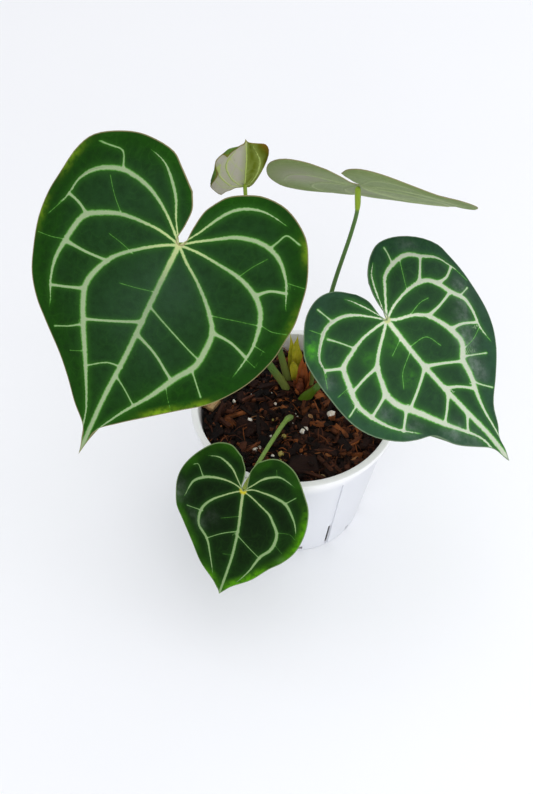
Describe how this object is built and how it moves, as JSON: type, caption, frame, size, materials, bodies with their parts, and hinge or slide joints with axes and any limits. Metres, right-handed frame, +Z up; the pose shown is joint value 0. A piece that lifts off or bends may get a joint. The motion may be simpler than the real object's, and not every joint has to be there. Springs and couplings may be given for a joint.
{
  "type": "potted crystal anthurium",
  "caption": "Crystal anthurium with heart-shaped, pale-veined leaves on slender stalks, growing in bark mix in a round white plastic nursery pot.",
  "frame": {"origin": "middle of the underside of the pot's base, on the surface that the pot stands on", "axes": "+Z up along the pot's axis; -Y towards the front, where the small low leaf hangs over the rim; +X to the right seen from the front"},
  "size_m": [0.2391, 0.1866, 0.279],
  "materials": {
    "pot_plastic": "satin",
    "bark_mix": "rough",
    "leaf": "velvety",
    "young_leaf": "satin",
    "stalk": "satin",
    "sheath": "satin",
    "crown": "rough"
  },
  "bodies": {
    "root": {"pot": "pot_plastic", "potting_mix": "bark_mix", "crown": "crown", "sheath_tall": "sheath", "sheath_split": "sheath", "sheath_short": "sheath", "petiole_left": "stalk", "petiole_right": "stalk", "petiole_front": "stalk", "petiole_back": "stalk", "petiole_young": "stalk", "blade_left": "leaf", "blade_right": "leaf", "blade_front": "leaf", "blade_back": "leaf", "blade_young": "young_leaf"}
  },
  "joints": []
}
